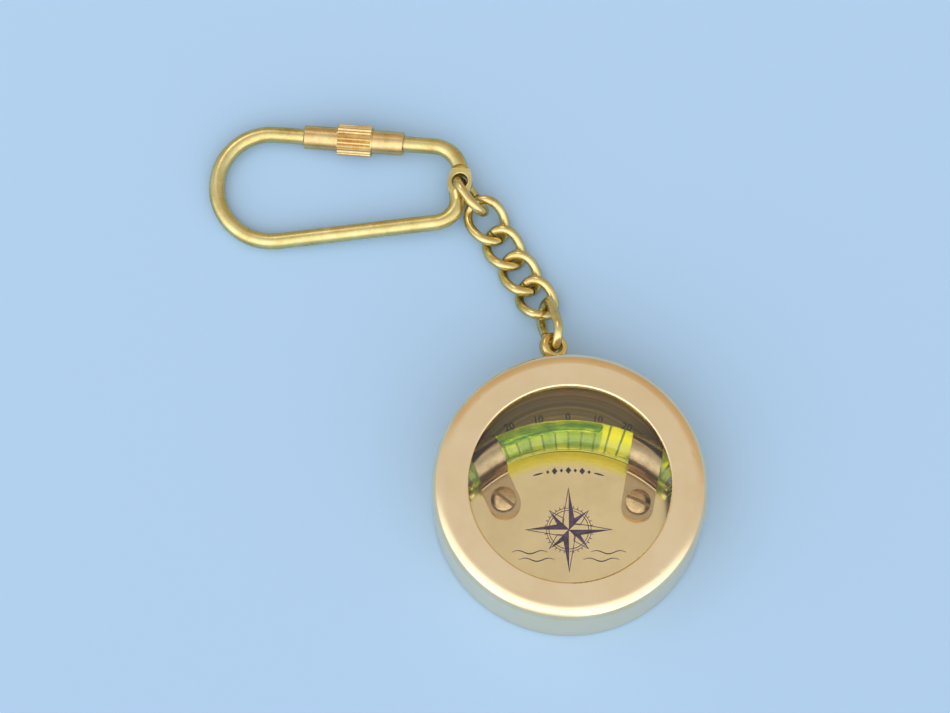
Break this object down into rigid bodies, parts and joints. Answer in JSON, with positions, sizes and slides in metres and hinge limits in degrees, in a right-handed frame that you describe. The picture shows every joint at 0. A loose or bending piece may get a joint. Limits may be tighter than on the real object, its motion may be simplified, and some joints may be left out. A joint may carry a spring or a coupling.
{
  "type": "pocket clinometer",
  "caption": "Round brass pocket clinometer with a curved bubble vial over an engraved dial, a short curb chain and a screw-lock key clasp.",
  "frame": {"origin": "centre of the case's flat back face", "axes": "+Z out of the dial, +Y to the top of the dial, +X to the right of the dial; the chain and the clasp lie on the same plane as the case, towards +Y and -X"},
  "size_m": [0.0851, 0.0907, 0.0132],
  "materials": {
    "case": "polished",
    "dial": "polished",
    "clip": "satin",
    "screw": "satin",
    "chain": "satin",
    "clasp": "satin",
    "sleeve": "satin",
    "crystal": "gloss",
    "vial_glass": "gloss",
    "fluid": "gloss",
    "bubble": "gloss",
    "plug": "matte"
  },
  "bodies": {
    "case": {"case_body": "case", "back_cover": "case", "crystal": "crystal", "crystal_ring": "case", "dial_plate": "dial", "vial_tube": "vial_glass", "vial_fluid": "fluid", "left_vial_plug": "plug", "right_vial_plug": "plug", "left_clip": "clip", "right_clip": "clip", "left_clip_screw": "screw", "right_clip_screw": "screw", "hanging_eye": "case"},
    "bubble": {"vial_bubble": "bubble"},
    "link_6": {"chain_link_6": "chain"},
    "link_5": {"chain_link_5": "chain"},
    "link_4": {"chain_link_4": "chain"},
    "link_3": {"chain_link_3": "chain"},
    "link_2": {"chain_link_2": "chain"},
    "link_1": {"chain_link_1": "chain"},
    "clasp": {"clasp_frame": "clasp", "hinge_bush": "clasp"},
    "gate": {"clasp_gate": "clasp"},
    "sleeve": {"lock_sleeve": "sleeve"}
  },
  "joints": [
    {"name": "bubble_travel", "type": "hinge", "parent": "case", "child": "bubble", "pos_m": [0, -0.0148, 0.00648], "axis": [0, 0, 1], "range_deg": [-27, 15], "deforming": ["vial_fluid"]},
    {"name": "chain_lift", "type": "hinge", "parent": "case", "child": "link_6", "pos_m": [-0.00252, 0.02848, 0.0059], "axis": [0.9386, 0.0119, -0.3449], "range_deg": [0, 75]},
    {"name": "link_5_swing", "type": "hinge", "parent": "link_6", "child": "link_5", "pos_m": [-0.00368, 0.03348, 0.00245], "axis": [0, 0, 1], "range_deg": [-15, 10]},
    {"name": "link_4_swing", "type": "hinge", "parent": "link_5", "child": "link_4", "pos_m": [-0.00658, 0.03801, 0.00172], "axis": [0, 0, -1], "range_deg": [-12, 15]},
    {"name": "link_3_swing", "type": "hinge", "parent": "link_4", "child": "link_3", "pos_m": [-0.00936, 0.04268, 0.0018], "axis": [0, 0, 1], "range_deg": [-15, 15]},
    {"name": "link_2_swing", "type": "hinge", "parent": "link_3", "child": "link_2", "pos_m": [-0.01215, 0.04736, 0.00171], "axis": [0, 0, -1], "range_deg": [-14, 10]},
    {"name": "link_1_swing", "type": "hinge", "parent": "link_2", "child": "link_1", "pos_m": [-0.01506, 0.05232, 0.00306], "axis": [0, 0, 1], "range_deg": [-18, 18]},
    {"name": "clasp_swing", "type": "hinge", "parent": "link_1", "child": "clasp", "pos_m": [-0.01837, 0.05684, 0.00325], "axis": [0.0402, 0.038, -0.9985], "range_deg": [0, 60]},
    {"name": "gate_swing", "type": "hinge", "parent": "clasp", "child": "gate", "pos_m": [-0.01837, 0.05684, 0.00325], "axis": [-0.0402, -0.038, 0.9985], "range_deg": [0, 15]},
    {"name": "sleeve_slide", "type": "slide", "parent": "gate", "child": "sleeve", "axis": [0.9951, -0.0913, 0.0366], "range_m": [0, 0.0046]}
  ],
  "couplings": [
    {"joint": "gate_swing", "follows": "sleeve_slide", "rad_per_m": 56.913}
  ]
}
